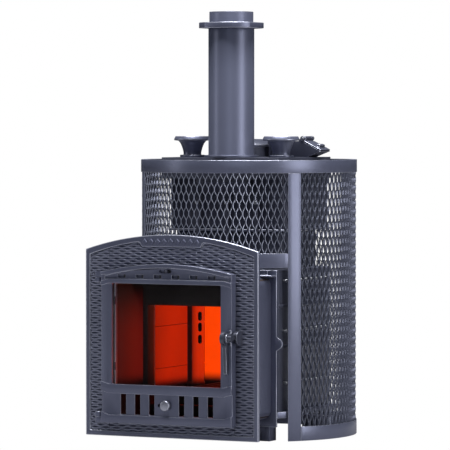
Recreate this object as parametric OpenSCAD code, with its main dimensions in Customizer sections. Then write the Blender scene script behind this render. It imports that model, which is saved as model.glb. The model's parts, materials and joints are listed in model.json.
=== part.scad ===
// Wood-fired sauna stove with a round stone cage, a fire tunnel and an arched glazed door.
// The stove faces -Y. Up is +Z. The origin is on the floor, below the middle of the whole stove.

/* [Stone cage] */
// Outer radius of the round cage
cage_r = 285; // [285:1:345]
// Height of the cage from the floor to its top rim
cage_h = 723; // [700:1:870]
// Height of the band around the top
top_band_h = 33; // [20:1:60]
// Height of the band around the foot
base_band_h = 37; // [20:1:50]
// Width of the inward lip on the top band
lip_w = 14; // [6:1:24]
// Thickness of the bands and posts
band_t = 2; // [1.5:0.1:3]
// Width of each upright post
post_w = 37; // [24:1:45]
// Angle of each post from the front
post_angle = 50.7; // [49:0.1:54]
// Height of the lower edge of the cross bar
bar_z = 447; // [444:1:500]
// Height of the cross bar
bar_h = 37; // [20:1:50]
// Thickness of the expanded metal sheet
mesh_t = 2.6; // [1.5:0.1:3]

/* [Portal] */
// Distance of the portal's front face from the axis of the cage
portal_reach = 446; // [400:1:540]
// Width of the portal plate
portal_w = 492; // [470:1:600]
// Height of the portal's lower edge
portal_low = 20; // [10:1:30]
// Height of the portal's corners
portal_shoulder = 496.5; // [490:0.5:560]
// Rise of the portal's arch above its corners
portal_rise = 39.5; // [20:0.5:60]
// Thickness of the portal plate
portal_t = 11; // [9:0.5:16]
// Width of the raised border
border_w = 13; // [8:0.5:20]
// Depth of the field inside the border
field_depth = 5; // [3:0.5:7]
// Width of the raised tab at the top of the arch
tab_w = 172; // [120:1:200]

/* [Door] */
// Width of the door casting
door_w = 372; // [366:1:390]
// Height of the door's lower edge
door_low = 56; // [54:1:58]
// Height of the door's corners
door_shoulder = 440; // [438:1:452]
// Rise of the door's arch above its corners
door_rise = 22; // [20:0.5:34]
// Depth of the door casting
door_t = 26; // [24:0.5:34]
// Depth of the panels below the door's bands
panel_depth = 6; // [4:0.5:8]
// Depth of the door's stiles below its bands
stile_depth = 2.5; // [1:0.5:3.5]
// Half width of the window in the door
window_half_w = 155; // [120:1:157]
// Height of the window's lower edge
window_low = 155; // [152:1:200]
// Height of the window's upper edge
window_high = 412; // [350:1:413]
// Thickness of the glass
glass_t = 4; // [3:0.5:6]
// Distance of the hinge axis from the middle of the door
hinge_x = 199; // [197:0.5:205]
// Diameter of the hinge pins
hinge_pin_d = 8; // [6:0.5:9]

/* [Door handle] */
// Height of the handle's axis
handle_z = 281; // [260:1:330]
// Diameter of the handle's hub
hub_d = 34; // [28:1:38]
// Length of the lever below its axis
lever_len = 92; // [70:1:120]
// Width of the lever
lever_w = 9; // [6:0.5:9.5]
// Diameter of the handle's spindle
spindle_d = 8; // [6:0.5:10]

/* [Air controls] */
// Distance between the lower air slots
slot_pitch = 40.75; // [38:0.25:44]
// Width of each lower air slot
slot_w = 16; // [12:0.5:18]
// Travel of the lower air plate
air_travel = 20; // [18:0.5:24]
// Diameter of the lower air knob
knob_d = 27; // [20:1:32]
// Distance between the upper air windows
vent_pitch = 51.2; // [48:0.1:54]
// Width of each upper air window
vent_w = 22; // [16:0.5:24]
// Running gap beside each sliding plate
slide_gap = 0.3; // [0.2:0.05:0.6]

/* [Fire tunnel] */
// Outer width of the tunnel
tunnel_w = 344; // [336:1:352]
// Height of the tunnel's floor
tunnel_low = 58; // [50:1:60]
// Height of the tunnel's roof
tunnel_high = 424; // [422:1:426]
// Radius of the tunnel's corners
tunnel_r = 23; // [10:1:30]
// Thickness of the tunnel's walls
tunnel_t = 6; // [4:0.5:8]

/* [Firebox] */
// Outer width of the firebox
firebox_w = 380; // [376:1:388]
// Distance of the firebox's front from the axis of the cage
firebox_front = 215; // [205:1:218]
// Distance of the firebox's back from the axis of the cage
firebox_back = 100; // [80:1:150]
// Height of the firebox's floor
firebox_low = 76; // [74:1:78]
// Height of the firebox's lower roof
firebox_high = 441; // [436:1:442]
// Thickness of the firebox's walls
wall_t = 5; // [4:0.5:8]
// Height of the feet
foot_h = 60; // [60:1:66]
// Height of the grate's upper face
grate_z = 124; // [110:1:150]
// Diameter of the air columns in the firebox
column_d = 44; // [36:1:48]

/* [Heater] */
// Height of the ledge on which the heater stands
ledge_z = 543; // [500:1:600]
// Half width of the heater
heater_half_w = 162; // [150:1:165]
// Distance of the heater's front from the axis of the cage
heater_front = 130; // [110:1:150]
// Distance of the heater's back from the axis of the cage
heater_back = 140; // [120:1:160]
// Height of the heater's cap above the cage's rim
cap_rise = 6; // [2:1:12]
// Height of the heater's cap
cap_h = 56; // [40:1:60]

/* [Flue and funnels] */
// Outer diameter of the flue pipe
flue_d = 120; // [100:1:140]
// Step from the flue pipe in to its spigot
spigot_step = 2.5; // [1.5:0.5:6]
// Length of the spigot
spigot_len = 28; // [20:1:60]
// Thickness of the flue's wall
flue_t = 4; // [2:0.5:6]
// Height of the spigot's top
flue_top = 1109; // [1000:1:1200]
// Width of the flue's collar
collar_w = 150; // [145:1:180]
// Diameter of each funnel's rim
funnel_d = 97; // [80:1:110]
// Diameter of each funnel just below its rim
throat_d = 73; // [56:1:76]
// Diameter of each funnel's neck
neck_d = 47; // [38:1:50]
// Height of each funnel
funnel_h = 55; // [50:1:70]

/* [Hidden] */

$fn = 48;
graphite = [0.26, 0.27, 0.33];
dark_iron = [0.16, 0.16, 0.19];
hot_iron = [0.55, 0.16, 0.05];
bare_steel = [0.55, 0.56, 0.58];
gap = 0.3;
run_fit = 0.05;

// Handle and keeper, in front of the door's face
hub_w = 9.5;
hub_gap = 0.5;
bracket_w = 5.5;
hub_left = door_w / 2 - bracket_w - hub_gap - hub_w;
handle_stand = hub_d / 2 + 1.5;
handle_reach = handle_stand + hub_d / 2;

// Depths, measured along Y from the axis of the cage, which lies at axis_y
door_gap = 4;
portal_y = -portal_reach;
field_y = portal_y + field_depth;
portal_back = portal_y + portal_t;
door_back = portal_y - door_gap;
door_y = door_back - door_t;
axis_y = (-door_y + handle_reach - cage_r) / 2;
skin_t = 4;
stile_y = door_y + stile_depth;
panel_y = door_y + panel_depth;
skin_back = panel_y + skin_t;
plate_t = 2;
handle_y = door_y - handle_stand;

// Door opening of the portal, and the rope seal around it
mouth_half_w = door_w / 2 - 26;
mouth_low = door_low + 14;
mouth_high = window_high + 4;
seal_w = 8;
seal_half_w = mouth_half_w + 6 + seal_w;
rim_w = 21;
inner_half_w = door_w / 2 - rim_w;

// Hinge
hinge_y = door_y + door_t / 2;
knuckle_r = 9.5;
knuckle_h = 14;
top_knuckle_z = door_shoulder - 13;
low_knuckle_z = door_low + 13;

// Air controls
air_z = 104.5;
slot_h = 52;
vent_z = window_high + 18.5;
vent_h = 9;
pin_z = window_high + 32;
pin_d = 6;
pin_x = 2.5;
vent_left = 19;
vent_right = 8;

// Flue, funnels and hatch
spigot_d = flue_d - 2 * spigot_step;
flue_y = -104;
funnel_x = 130;
funnel_y = -74;
cap_z = cage_h + cap_rise;
cap_low = cap_z - cap_h;
cap_half_w = heater_half_w + 8;
cap_front = -172;
cap_back = heater_back + 5;
pipe_d = 36;
hatch_y = 60;
hatch_half = 30;
hatch_x = 142;
hatch_top = cap_z + 42;
hatch_pin_z = hatch_top + 7;
hatch_pin_d = 6;
hatch_wall = 4;
hatch_left = 44;
hatch_right = hatch_x + 13;
mouth_x = hatch_x - 2;
mouth_len = 61;
flap_t = 4;
flap_drop = 26;
flap_len = mouth_len - 1;
flap_half = hatch_half - 6;

// Cage
post_half = asin(post_w / 2 / cage_r);
inner_r = cage_r - band_t;
mesh_r = inner_r - 0.2;
mesh_tuck = 11;

// A box from its lowest corner to its highest
module box(lo, hi) translate(lo) cube(hi - lo);

// Places a piece that is drawn from the axis of the cage
module placed() translate([0, axis_y, 0]) children();

// A piece on the right, and its mirror image on the left
module both_sides() {
    children();
    mirror([1, 0, 0]) children();
}

// An upright plate of thickness t, whose front face is at y
module upright(y, t) translate([0, y + t, 0]) rotate([90, 0, 0]) linear_extrude(t) children();

// A plate that stands across X, from x to x + t, drawn as (Y, Z)
module crosswise(x, t) translate([x, 0, 0]) rotate([90, 0, 90]) linear_extrude(t) children();

// A rectangle with round corners, from its lowest corner to its highest
module round_rect(lo, hi, r) {
    translate(lo + [r, 0]) square(hi - lo - [2 * r, 0]);
    translate(lo + [0, r]) square(hi - lo - [0, 2 * r]);
    for (x = [lo.x + r, hi.x - r], y = [lo.y + r, hi.y - r]) translate([x, y]) circle(r);
}

// A rectangle whose top is an arc
module arch(half_w, low, shoulder, rise) {
    arc_r = (half_w * half_w + rise * rise) / (2 * rise);
    intersection() {
        translate([-half_w, low]) square([2 * half_w, shoulder + rise - low]);
        translate([0, shoulder + rise - arc_r]) circle(arc_r, $fn = 180);
    }
}

// A slot with round ends, from x = left to x = right
module round_slot(left, right, z, h) {
    translate([left + h / 2, z - h / 2]) square([right - left - h, h]);
    for (x = [left + h / 2, right - h / 2]) translate([x, z]) circle(d = h);
}

// Part of a round band between two angles, counted from the front of the cage
module band(from, to, r_in, r_out, low, high) {
    rotate([0, 0, from - 90]) rotate_extrude(angle = to - from, $fn = 180)
        translate([r_in, low]) square([r_out - r_in, high - low]);
}

// A rod along Y from y to y + len
module rod_y(x, y, z, d, len) translate([x, y + len, z]) rotate([90, 0, 0]) cylinder(d = d, h = len);

// A rod along X from x to x + len
module rod_x(x, y, z, d, len) translate([x, y, z]) rotate([0, 90, 0]) cylinder(d = d, h = len);

// ---- Portal ----

module portal_outline(inset) {
    arch(portal_w / 2 - inset, portal_low + inset, portal_shoulder - inset, portal_rise);
}

module tab_outline() {
    low = portal_shoulder + 8;
    polygon([
        [-tab_w / 2 - 18, low + 18], [-tab_w / 2 - 3, low + 10], [-tab_w / 2, low + 3], [-tab_w / 2 + 3, low],
        [tab_w / 2 - 3, low], [tab_w / 2, low + 3], [tab_w / 2 + 3, low + 10], [tab_w / 2 + 18, low + 18],
        [0, low + portal_rise]
    ]);
}

module mouth_outline(grow) {
    round_rect([-mouth_half_w - grow, mouth_low - grow], [mouth_half_w + grow, mouth_high + grow],
        12 + grow);
}

module portal_plate() color(graphite) placed() difference() {
    upright(portal_y, portal_t) portal_outline(0);
    upright(portal_y - 1, field_depth + 1) difference() {
        portal_outline(border_w);
        tab_outline();
        mouth_outline(18);
    }
    upright(portal_y - 1, portal_t + 2) mouth_outline(0);
}

// Studs behind the portal, with nuts that hold the tabs of the tunnel
stud_x = tunnel_w / 2 + 16;
stud_heights = [140, 250, 360];

module portal_studs() color(bare_steel) placed() both_sides() for (z = stud_heights) {
    rod_y(stud_x, portal_back, z, 8, 16);
    translate([stud_x, portal_back + 11, z]) rotate([90, 0, 0]) cylinder(d = 15, h = 6.5, $fn = 6);
}

module tunnel_tabs() color(dark_iron) placed() both_sides() for (z = stud_heights) difference() {
    union() {
        box([tunnel_w / 2, portal_back, z - 15], [tunnel_w / 2 + 30, portal_back + 4, z + 15]);
        box([tunnel_w / 2, portal_back, z - 15], [tunnel_w / 2 + 4, portal_back + 30, z + 15]);
    }
    rod_y(stud_x, portal_back - 1, z, 8.6, 6);
}

module door_gasket() color([0.75, 0.73, 0.68]) placed()
    upright(door_back + gap, door_gap - gap) difference() {
        mouth_outline(6 + seal_w);
        mouth_outline(6);
    }

// ---- Hinge ----

module hinge_lug(z) {
    translate([-hinge_x, hinge_y, z]) cylinder(r = knuckle_r, h = knuckle_h - gap);
    box([-hinge_x - knuckle_r, hinge_y, z], [-hinge_x + knuckle_r, field_y, z + knuckle_h - gap]);
}

module portal_knuckles() color(graphite) placed() difference() {
    union() {
        hinge_lug(top_knuckle_z - knuckle_h);
        hinge_lug(low_knuckle_z + gap);
    }
    translate([-hinge_x, hinge_y, 0]) cylinder(d = hinge_pin_d, h = cage_h);
}

module hinge_pins() color(bare_steel) placed() {
    for (z = [top_knuckle_z - knuckle_h, low_knuckle_z - knuckle_h])
        translate([-hinge_x, hinge_y, z - 1]) cylinder(d = hinge_pin_d, h = 2 * knuckle_h + 2);
    for (z = [top_knuckle_z + knuckle_h + 1, low_knuckle_z + knuckle_h + 1])
        translate([-hinge_x, hinge_y, z]) cylinder(d = hinge_pin_d + 3, h = 2.5);
}

module door_lug(z) {
    translate([-hinge_x, hinge_y, z]) cylinder(r = knuckle_r, h = knuckle_h - gap);
    box([-hinge_x, hinge_y - knuckle_r, z],
        [-door_w / 2 + 4, hinge_y + knuckle_r, z + knuckle_h - gap]);
}

// ---- Keeper and handle ----

keeper_x = door_w / 2 + 3;
keeper_w = 12;
keeper_r = 17;
keeper_reach = 31;
keeper_wall = 3;
claw_x = door_w / 2 + hub_gap;
claw_t = 9;
claw_right = keeper_x + keeper_w - keeper_wall - 1;

module door_keeper() color(graphite) placed() difference() {
    union() {
        rod_x(keeper_x, portal_y - keeper_reach + keeper_r, handle_z, 2 * keeper_r, keeper_w);
        box([keeper_x, portal_y - keeper_reach + keeper_r, handle_z - keeper_r],
            [keeper_x + keeper_w, field_y, handle_z + keeper_r]);
    }
    box([keeper_x - 1, portal_y - keeper_reach - 1, handle_z - keeper_r - 1],
        [keeper_x + keeper_w - keeper_wall, portal_y - keeper_reach + 15, handle_z + claw_t / 2 + 1]);
}

module handle_bracket() color(dark_iron) placed() difference() {
    left = hub_left + hub_w + hub_gap;
    union() {
        box([left, handle_y, handle_z - 11], [left + bracket_w, stile_y, handle_z + 11]);
        rod_x(left, handle_y, handle_z, 22, bracket_w);
        box([left, stile_y - 4, handle_z - 20], [left + bracket_w, stile_y, handle_z + 20]);
    }
    rod_x(hub_left, handle_y, handle_z, spindle_d + 2 * run_fit, 60);
}

module door_handle() color(dark_iron) placed() {
    rod_x(hub_left, handle_y, handle_z, hub_d, hub_w);
    rod_x(hub_left + hub_w, handle_y, handle_z, spindle_d, bracket_w + 2 * hub_gap);
    rod_x(claw_x, handle_y, handle_z, 16, claw_right - claw_x);
    box([keeper_x + 1, handle_y, handle_z - claw_t / 2],
        [claw_right, portal_y - keeper_reach + 12, handle_z + claw_t / 2]);
    crosswise(hub_left + (hub_w - lever_w) / 2, lever_w) lever_side();
}

// The lever seen from the side, as (Y, Z): it hangs down and ends in a slanted point
module lever_side() {
    back = handle_stand - 2;
    foot = handle_z - lever_len;
    polygon([
        [handle_y - 6, handle_z], [handle_y + back - 1, handle_z],
        [handle_y + back, handle_z - lever_len * 0.6], [handle_y + back, foot + 10],
        [handle_y + back - 4, foot], [handle_y + back - 10, foot + 2], [handle_y + back - 13, foot + 10],
        [handle_y + 2.5, handle_z - lever_len * 0.55], [handle_y, handle_z - hub_d / 2 - 6]
    ]);
}

// ---- Door ----

module door_outline(inset) arch(door_w / 2 - inset, door_low + inset, door_shoulder - inset, door_rise);

module window_outline(grow) {
    round_rect([-window_half_w - grow, window_low - grow],
        [window_half_w + grow, window_high + grow], 4 + grow);
}

// A band across the door, whose ends bend by bend from the straight
module door_band(low, high, bend) {
    half = door_w / 2;
    polygon([
        [-half, low + bend], [22 - half, low], [half - 22, low], [half, low + bend],
        [half, high + bend], [half - 22, high], [22 - half, high], [-half, high + bend]
    ]);
}

// The raised bands: along the arch, above the window, below the window and along the foot
module door_bands() {
    difference() {
        door_outline(0);
        door_outline(9);
        translate([-door_w, 0]) square([2 * door_w, door_shoulder - 6]);
    }
    door_band(window_high, window_high + 11, -6);
    door_band(window_low - 23, window_low, 6);
    door_band(door_low, door_low + 20, 0);
    door_band(door_low + 12, door_low + 20, 8);
}

// Middles of the six lower air slots
function slot_middles() = [for (i = [-3, -2, -1, 1, 2, 3]) i * slot_pitch + sign(i) * 1.75];

// Middles of the six upper air windows
function vent_middles() = [for (i = [-2.5 : 1 : 2.5]) i * vent_pitch];

module slots_row(shift, grow) {
    for (x = slot_middles())
        translate([x + shift - slot_w / 2 - grow, air_z - slot_h / 2 - grow])
            square([slot_w + 2 * grow, slot_h + 2 * grow]);
}

module vents_row(shift) {
    for (x = vent_middles())
        translate([x + shift - vent_w / 2, vent_z - vent_h / 2]) square([vent_w, vent_h]);
}

air_low = air_z - slot_h / 2 - 5;
air_high = air_z + slot_h / 2 + 5;
air_half_w = 3 * slot_pitch + slot_w / 2 + 6;
vent_half_w = 2.5 * vent_pitch + vent_w / 2 + 4;
vent_low = vent_z - vent_h / 2 - 2.5;
vent_high = vent_z + vent_h / 2 + 2;
pin_tab_w = 22;
glass_y = door_y + 8 + gap;

module door_frame() color(graphite) placed() difference() {
    union() {
        upright(door_y, door_t) door_outline(0);
        door_lug(top_knuckle_z);
        door_lug(low_knuckle_z - knuckle_h);
    }
    upright(door_y - 1, stile_depth + 1) difference() {
        translate([-door_w, 0]) square([2 * door_w, cage_h]);
        door_bands();
    }
    upright(door_y - 1, panel_depth + 1) lower_panel();
    upright(door_y - 1, panel_depth + 1) upper_panel();
    upright(door_y - 1, door_t) window_outline(0);
    upright(door_y + 8, door_t) window_outline(8);
    upright(door_y - 1, door_t) slots_row(0, 0);
    upright(door_y - 1, door_t)
        round_slot(-air_travel - spindle_d / 2 - 1, spindle_d / 2 + 1, air_z, spindle_d + 1);
    upright(skin_back, door_t) translate([-inner_half_w, air_low - 3])
        square([2 * inner_half_w, air_high - air_low + 6]);
    upright(door_y - 1, 12) vents_row(0);
    upright(door_y - 1, 12) round_slot(pin_x - vent_left - 3.5, pin_x + vent_right + 3.5, pin_z, pin_d + 3);
    upright(skin_back, plate_t + 2 * slide_gap) vent_pocket();
    clip_places() box([-clip_w / 2 - gap, clip_y, -clip_h / 2 - gap],
        [clip_w / 2 + gap, door_back + 1, clip_h / 2 + gap]);
    for (z = [top_knuckle_z, low_knuckle_z - knuckle_h])
        translate([-hinge_x, hinge_y, z - 1]) cylinder(d = hinge_pin_d + 2 * run_fit, h = knuckle_h + 2);
}

// Sunk panel with the air slots, between the two lower bands
module lower_panel() {
    difference() {
        translate([-door_w / 2 - 1, door_low + 12]) square([door_w + 2, window_low - door_low - 12]);
        door_bands();
    }
}

// Sunk panel with the air windows, under the arch
module upper_panel() {
    difference() {
        door_outline(10);
        translate([-door_w, 0]) square([2 * door_w, window_high + 11]);
    }
}

// Room for the upper air plate, open downwards behind the window
module vent_pocket() {
    room = vent_half_w + vent_left + vent_right + gap;
    translate([-room, window_high + 4]) square([2 * room, vent_high - window_high - 4 + slide_gap]);
    translate([pin_x - pin_tab_w / 2 - vent_left - 1, vent_z])
        square([pin_tab_w + vent_left + vent_right + 2, pin_z + 4 + slide_gap - vent_z]);
}

module door_glass() color([0.8, 0.35, 0.1, 0.5]) placed()
    upright(glass_y, glass_t) window_outline(6);

module glass_seal() color([0.75, 0.73, 0.68]) placed()
    upright(glass_y + glass_t, 3) difference() {
        window_outline(6);
        window_outline(1);
    }

// Clips that lie in pockets of the door and hold the glass by its edge
clip_w = 18;
clip_h = 20;
clip_y = glass_y + glass_t + 3;

module clip_places() {
    for (x = [-1, 1], z = [window_low + 45, window_high - 45])
        translate([x * (window_half_w + 6), 0, z]) children();
}

module glass_clips() color(bare_steel) placed() clip_places() {
    box([-clip_w / 2, clip_y, -clip_h / 2], [clip_w / 2, clip_y + 2, clip_h / 2]);
    rod_y(0, clip_y + 2, 0, 9, 4);
}

module air_liner() color(dark_iron) placed()
    upright(skin_back + plate_t + 2 * slide_gap, plate_t) difference() {
        translate([-inner_half_w + gap, air_low - 3 + gap])
            square([2 * inner_half_w - 2 * gap, air_high - air_low + 6 - 2 * gap]);
        slots_row(0, 2);
    }

module air_plate() color(bare_steel) placed()
    upright(skin_back + slide_gap, plate_t) difference() {
        translate([-air_half_w, air_low]) square([2 * air_half_w, air_high - air_low]);
        slots_row(0, 0);
    }

module air_knob() color(graphite) placed() {
    rod_y(0, panel_y - 3 - 10, air_z, knob_d, 10);
    rod_y(0, panel_y - 3, air_z, spindle_d, 3 + skin_t + slide_gap);
}

module vent_plate() color(bare_steel) placed()
    upright(skin_back + slide_gap, plate_t) difference() {
        union() {
            translate([-vent_half_w - vent_right, vent_low])
                square([2 * vent_half_w + vent_right, vent_high - vent_low]);
            translate([pin_x - pin_tab_w / 2, vent_z]) square([pin_tab_w, pin_z + 4 - vent_z]);
        }
        vents_row(-vent_right);
    }

module vent_pin() color(bare_steel) placed()
    rod_y(pin_x, panel_y - 9, pin_z, pin_d, 9 + skin_t + slide_gap);

// ---- Fire tunnel ----

flange_y = -firebox_front - 6;
flange_half_w = firebox_w / 2 - 2;
flange_low = 38;

module tunnel_outline(inset) {
    round_rect([-tunnel_w / 2 + inset, tunnel_low + inset], [tunnel_w / 2 - inset, tunnel_high - inset],
        tunnel_r - inset);
}

module fire_tunnel() color(dark_iron) placed()
    upright(portal_back, flange_y - portal_back) difference() {
        tunnel_outline(0);
        tunnel_outline(tunnel_t);
    }

// The ear on each edge of the flange: a rounded nose under a slanted shoulder
flange_ear = [[-20, 36], [4, 15], [12, 10], [16, 4], [16, -4], [12, -10], [3, -16], [-20, -30]];

module tunnel_flange() color(graphite) placed()
    upright(flange_y, 6) difference() {
        union() {
            translate([-flange_half_w, flange_low]) square([2 * flange_half_w, firebox_high - flange_low]);
            for (x = [-1, 1]) scale([x, 1]) translate([flange_half_w, 252]) polygon(flange_ear);
        }
        tunnel_outline(tunnel_t);
    }

module tunnel_bracket() color(graphite) placed() {
    box([-188, flange_y - 32, tunnel_high + 1], [188, flange_y, tunnel_high + 5]);
    box([-164, flange_y - 4, tunnel_high + 5], [164, flange_y, firebox_high]);
}

// The frame inside the tunnel: how far it stands from the flange, and its depth and widths
liner_in = 31;
liner_depth = 34;
liner_post = 14;
liner_sill = 26;
liner_lintel = 70;

module tunnel_liner() color(dark_iron) placed() {
    inner = tunnel_w / 2 - tunnel_t - gap;
    low = tunnel_low + tunnel_t + gap;
    high = tunnel_high - tunnel_t - gap;
    upright(flange_y - liner_in - liner_depth, liner_depth) difference() {
        round_rect([-inner, low], [inner, high], tunnel_r - tunnel_t - gap);
        round_rect([liner_post - inner, low + liner_sill], [inner - liner_post, high - liner_lintel], 6);
    }
}

// ---- Base and firebox ----

tray_half_w = 205;
tray_chamfer = 18;

module base_tray() color(graphite) placed() translate([0, 0, foot_h])
    linear_extrude(firebox_low - foot_h) polygon([
        [-tray_half_w + tray_chamfer, -firebox_front + 1], [tray_half_w - tray_chamfer, -firebox_front + 1],
        [tray_half_w, -firebox_front + 1 + tray_chamfer * 1.4], [tray_half_w, firebox_back + 8],
        [-tray_half_w, firebox_back + 8], [-tray_half_w, -firebox_front + 1 + tray_chamfer * 1.4]
    ]);

module feet() color(graphite) placed()
    for (x = [-165, 132], y = [-firebox_front + 1, firebox_back - 40])
        box([x, y, 0], [x + 33, y + 39, foot_h]);

module side_wall() {
    box([firebox_w / 2 - wall_t, -firebox_front, firebox_low],
        [firebox_w / 2, firebox_back - wall_t, firebox_high - wall_t]);
    for (z = [244, 348]) box([firebox_w / 2, -firebox_front + 4, z - 4],
        [firebox_w / 2 + 3, firebox_back - wall_t, z + 4]);
}

module firebox_right_wall() color(graphite) placed() side_wall();

module firebox_left_wall() color(graphite) placed() mirror([1, 0, 0]) side_wall();

module firebox_back_wall() color(graphite) placed()
    box([-firebox_w / 2, firebox_back - wall_t, firebox_low],
        [firebox_w / 2, firebox_back, firebox_high - wall_t]);

module firebox_floor() color(dark_iron) placed()
    box([-firebox_w / 2 + wall_t, -firebox_front, firebox_low],
        [firebox_w / 2 - wall_t, firebox_back - wall_t, firebox_low + wall_t]);

// Half width and ends of the neck between the firebox and the heater
neck_half_w = 150;
neck_front = -125;
neck_back = 92;

module firebox_roof() color(graphite) placed() difference() {
    box([-firebox_w / 2, -firebox_front, firebox_high - wall_t], [firebox_w / 2, firebox_back, firebox_high]);
    box([-neck_half_w + wall_t, neck_front + wall_t, firebox_high - wall_t - 1],
        [neck_half_w - wall_t, neck_back - wall_t, firebox_high + 1]);
}

module firebox_neck() color(graphite) placed() difference() {
    box([-neck_half_w, neck_front, firebox_high], [neck_half_w, neck_back, ledge_z - 6]);
    box([-neck_half_w + wall_t, neck_front + wall_t, firebox_high - 1],
        [neck_half_w - wall_t, neck_back - wall_t, ledge_z]);
}

module wall_liners() color(hot_iron) placed() both_sides()
    for (row = [[firebox_low + wall_t + 4, 173], [175, 284], [286, firebox_high - wall_t - 6]])
        box([firebox_w / 2 - wall_t - 8, -firebox_front + 8, row[0]],
            [firebox_w / 2 - wall_t - gap, firebox_back - wall_t - 4, row[1]]);

module heat_studs() color(bare_steel) placed() both_sides()
    for (z = [150, 284, 413], y = [-firebox_front + 30 : 30 : firebox_back - 20])
        rod_x(firebox_w / 2, y, z, 7, 11);

// Place of the right air column, and the half width that is left for the grate
column_x = 150;
column_y = -17;
grate_half = column_x - column_d / 2 - 17;

module fire_grate() color(dark_iron) placed() {
    half = grate_half;
    front = -160;
    back = 60;
    difference() {
        box([-half - 12, front - 12, grate_z - 14], [half + 12, back + 12, grate_z]);
        box([-half, front, grate_z - 20], [half, back, grate_z + 1]);
    }
    for (i = [-4 : 4]) translate([i * half / 4.6, 0, grate_z])
        box([-5.5, front, -12], [5.5, back, -1]);
    for (x = [-half - 12, half], y = [front - 12, back])
        box([x, y, firebox_low + wall_t], [x + 12, y + 12, grate_z - 14]);
}

module ash_pan() color(dark_iron) placed() difference() {
    half = grate_half - 3;
    box([-half, -190, firebox_low + wall_t + 1], [half, 40, grate_z - 18]);
    box([3 - half, -187, firebox_low + wall_t + 4], [half - 3, 37, grate_z]);
}

module air_columns() color(hot_iron) placed() both_sides() difference() {
    union() {
        translate([column_x, column_y, firebox_low + wall_t])
            cylinder(d = column_d, h = firebox_high - firebox_low - 2 * wall_t);
        translate([column_x, column_y, grate_z]) cylinder(d = column_d + 5, h = 8);
    }
    translate([column_x, column_y, firebox_low]) cylinder(d = column_d - 10, h = cage_h);
    for (z = [245, 277, 306]) translate([column_x, column_y, z]) rotate([0, 0, -60]) column_hole();
}

// An upright slot that lets the air out of a column
module column_hole() upright(-column_d, column_d) {
    square([12, 12], center = true);
    for (z = [-6, 6]) translate([0, z]) circle(d = 12);
}

module flame_baffle() color(dark_iron) placed()
    box([-neck_half_w + wall_t, neck_front + wall_t, ledge_z - 60],
        [neck_half_w - wall_t, neck_back - 70, ledge_z - 54]);

// ---- Heater ----

module heater_ledge() color(graphite) placed() difference() {
    box([-heater_half_w - 7, -heater_front - 8, ledge_z - 6],
        [heater_half_w + 7, heater_back + 8, ledge_z]);
    box([-neck_half_w + wall_t, neck_front + wall_t, ledge_z - 7],
        [neck_half_w - wall_t, neck_back - wall_t, ledge_z + 1]);
}

module heater_shell() color(graphite) placed() difference() {
    box([-heater_half_w, -heater_front, ledge_z], [heater_half_w, heater_back, cap_z - wall_t]);
    box([-heater_half_w + wall_t, -heater_front + wall_t, ledge_z - 1],
        [heater_half_w - wall_t, heater_back - wall_t, cap_z]);
    box([-breech_half_w + wall_t, -heater_front - 1, cap_low - 38],
        [breech_half_w - wall_t, -heater_front + wall_t + 1, cap_z]);
}

// Smoke box that leads from the heater's front to the flue
breech_half_w = 72;
breech_front = -heater_front - 37;

module breech_side(inset) polygon([
    [-heater_front, cap_low - 46 + 2 * inset], [breech_front + inset, cap_low - 8 + 2 * inset],
    [breech_front + inset, cap_z - wall_t + inset / 10], [-heater_front, cap_z - wall_t + inset / 10]
]);

module heater_breech() color(graphite) placed() difference() {
    crosswise(-breech_half_w, 2 * breech_half_w) breech_side(0);
    crosswise(-breech_half_w + wall_t, 2 * breech_half_w - 2 * wall_t) translate([0.5, 0]) breech_side(4);
}

// Where the ribs of the heater's front stand, and the height of their bolts
rib_x = [-80, 5, 90];
rib_bolt_z = 611;

module heater_ribs() color(graphite) placed()
    for (x = rib_x) box([x - 5, -heater_front - 12, ledge_z - 34], [x + 5, -heater_front - 8, cap_low - 50]);

module rib_bolts() color(bare_steel) placed()
    for (x = rib_x) {
        rod_y(x, -heater_front - 18, rib_bolt_z, 9, 6);
        rod_y(x, -heater_front - 8, rib_bolt_z, 9, 8);
    }

module stone_box() color(dark_iron) placed() {
    difference() {
        box([-118, -36, ledge_z + 24], [heater_half_w - 20, heater_back - 22, cap_z - wall_t]);
        box([-114, -32, ledge_z + 28], [heater_half_w - 24, heater_back - 26, cap_z]);
    }
    for (y = [-20, 90]) box([-heater_half_w + wall_t, y, ledge_z + 18],
        [heater_half_w - wall_t, y + 12, ledge_z + 24]);
}

module heater_cap() color(graphite) placed() difference() {
    box([-cap_half_w, cap_front, cap_low], [cap_half_w, cap_back, cap_z]);
    box([-cap_half_w + wall_t, cap_front + wall_t, cap_low - 1],
        [cap_half_w - wall_t, cap_back - wall_t, cap_z - wall_t]);
    translate([0, flue_y, cap_low]) cylinder(d = flue_d - 2 * flue_t, h = cap_h + 1);
    for (x = [-funnel_x, funnel_x]) translate([x, funnel_y, cap_low]) cylinder(d = pipe_d - 5, h = cap_h + 1);
    box([hatch_left + hatch_wall, hatch_y - hatch_half + hatch_wall, cap_low],
        [hatch_x - 4, hatch_y + hatch_half - hatch_wall, cap_z + 1]);
}

module centre_cover() color(graphite) placed() translate([-36, 50, cap_z]) rotate_extrude($fn = 96) polygon([
    [0, 0], [67, 0], [67, 28], [72, 29], [72, 34], [48, 47], [0, 48]
]);

mouth_tip = [mouth_x + mouth_len * cos(flap_drop), hatch_top - mouth_len * sin(flap_drop)];

module hatch_section() polygon([
    [hatch_left, cap_z], [hatch_left, hatch_top - 10],
    [hatch_left - 4, hatch_top - 10], [hatch_left - 4, hatch_top],
    [mouth_x, hatch_top], mouth_tip, [hatch_right, cap_z]
]);

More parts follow.
